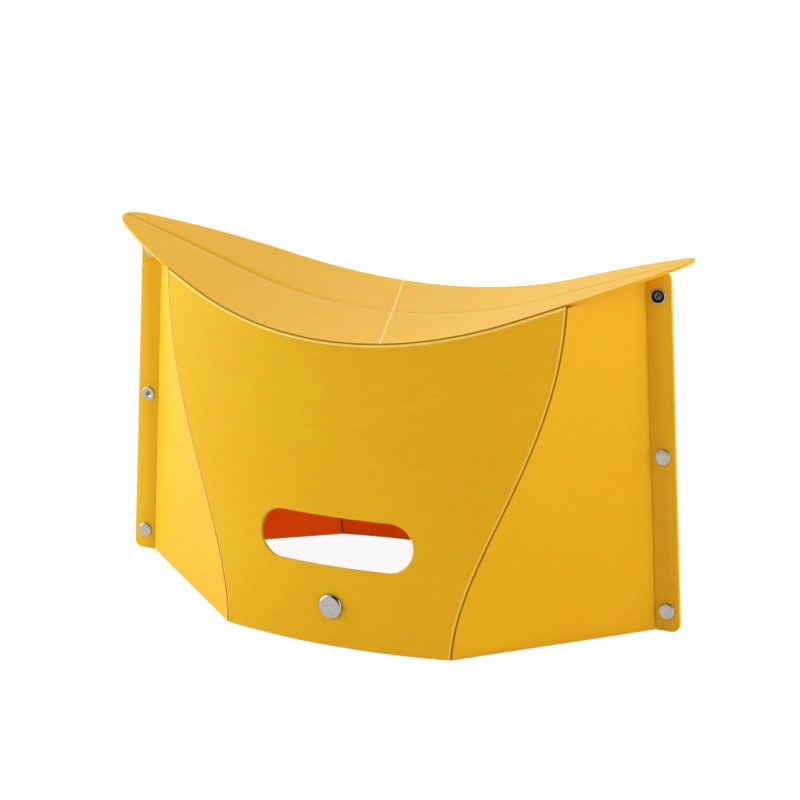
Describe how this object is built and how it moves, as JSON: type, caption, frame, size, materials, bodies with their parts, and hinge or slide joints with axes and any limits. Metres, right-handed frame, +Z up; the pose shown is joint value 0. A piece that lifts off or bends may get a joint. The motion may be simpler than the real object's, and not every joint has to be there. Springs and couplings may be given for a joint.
{
  "type": "folding stool",
  "caption": "Folding stool of creased plastic sheet: saddle seat over bowed front and rear panels with hand slots, twisted side panels, riveted end flanges and a press stud.",
  "frame": {"origin": "on the floor, under the middle of the seat", "axes": "+Z up, X along the seat from tip to tip, front faces -Y"},
  "size_m": [0.3678, 0.1864, 0.2265],
  "materials": {
    "yellow_sheet": "satin, fine grain",
    "fastener_metal": "plated, domed and polished"
  },
  "bodies": {
    "left_flanges": {"front_left_flange": "yellow_sheet", "rear_left_flange": "yellow_sheet", "left_low_rivet_cap": "fastener_metal", "left_low_rivet_ring": "fastener_metal", "left_middle_rivet_cap": "fastener_metal", "left_middle_rivet_ring": "fastener_metal", "left_top_rivet_cap": "fastener_metal", "left_top_rivet_ring": "fastener_metal"},
    "right_flanges": {"front_right_flange": "yellow_sheet", "rear_right_flange": "yellow_sheet", "right_low_rivet_cap": "fastener_metal", "right_low_rivet_ring": "fastener_metal", "right_middle_rivet_cap": "fastener_metal", "right_middle_rivet_ring": "fastener_metal", "right_top_rivet_cap": "fastener_metal", "right_top_rivet_ring": "fastener_metal"},
    "front_left_side": {"front_left_side_panel": "yellow_sheet"},
    "front_right_side": {"front_right_side_panel": "yellow_sheet"},
    "rear_left_side": {"rear_left_side_panel": "yellow_sheet"},
    "rear_right_side": {"rear_right_side_panel": "yellow_sheet"},
    "front_centre": {"front_centre_panel": "yellow_sheet", "front_snap_cap": "fastener_metal", "front_snap_socket": "fastener_metal"},
    "rear_centre": {"rear_centre_panel": "yellow_sheet", "rear_snap_cap": "fastener_metal", "rear_snap_stud": "fastener_metal"},
    "seat_front": {"seat_front_half": "yellow_sheet"},
    "seat_rear": {"seat_rear_half": "yellow_sheet"}
  },
  "joints": [
    {"name": "seat_middle_fold", "type": "hinge", "parent": "seat_front", "child": "seat_rear", "pos_m": [0, 0, 0.1778], "axis": [-1, 0, 0], "range_deg": [0, 180]},
    {"name": "front_left_flange_fold", "type": "hinge", "parent": "left_flanges", "child": "front_left_side", "pos_m": [-0.1688, 0, 0], "axis": [0.0696, 0, 0.9976], "range_deg": [0, 28.6]},
    {"name": "front_left_side_fold", "type": "hinge", "parent": "front_left_side", "child": "front_centre", "pos_m": [-0.0718, -0.0828, 0], "axis": [0.2439, -0.1575, -0.9569], "range_deg": [0, 29.48]},
    {"name": "front_right_side_fold", "type": "hinge", "parent": "front_centre", "child": "front_right_side", "pos_m": [0.0718, -0.0828, 0], "axis": [-0.2439, -0.1575, -0.9569], "range_deg": [0, 29.48]},
    {"name": "front_right_flange_fold", "type": "hinge", "parent": "front_right_side", "child": "right_flanges", "pos_m": [0.1688, 0, 0], "axis": [-0.0696, 0, 0.9976], "range_deg": [0, 28.6]},
    {"name": "rear_right_flange_fold", "type": "hinge", "parent": "right_flanges", "child": "rear_right_side", "pos_m": [0.1688, 0, 0], "axis": [-0.0696, 0, 0.9976], "range_deg": [0, 28.6]},
    {"name": "rear_left_flange_fold", "type": "hinge", "parent": "left_flanges", "child": "rear_left_side", "pos_m": [-0.1688, 0, 0], "axis": [-0.0696, 0, -0.9976], "range_deg": [0, 28.6]},
    {"name": "front_seat_fold", "type": "hinge", "parent": "front_centre", "child": "seat_front", "pos_m": [0, -0.04884, 0.20635], "axis": [1, 0, 0], "range_deg": [0, 80.06]},
    {"name": "rear_seat_fold", "type": "hinge", "parent": "seat_rear", "child": "rear_centre", "pos_m": [0, 0.04884, 0.20635], "axis": [1, 0, 0], "range_deg": [0, 80.06]}
  ],
  "couplings": [
    {"joint": "front_left_flange_fold", "follows": "seat_middle_fold", "ratio": 0.1589},
    {"joint": "front_left_side_fold", "follows": "seat_middle_fold", "ratio": 0.16378},
    {"joint": "front_right_side_fold", "follows": "seat_middle_fold", "ratio": 0.16378},
    {"joint": "front_right_flange_fold", "follows": "seat_middle_fold", "ratio": 0.1589},
    {"joint": "rear_right_flange_fold", "follows": "seat_middle_fold", "ratio": 0.1589},
    {"joint": "rear_left_flange_fold", "follows": "seat_middle_fold", "ratio": 0.1589},
    {"joint": "front_seat_fold", "follows": "seat_middle_fold", "ratio": 0.44477},
    {"joint": "rear_seat_fold", "follows": "seat_middle_fold", "ratio": 0.44477}
  ]
}
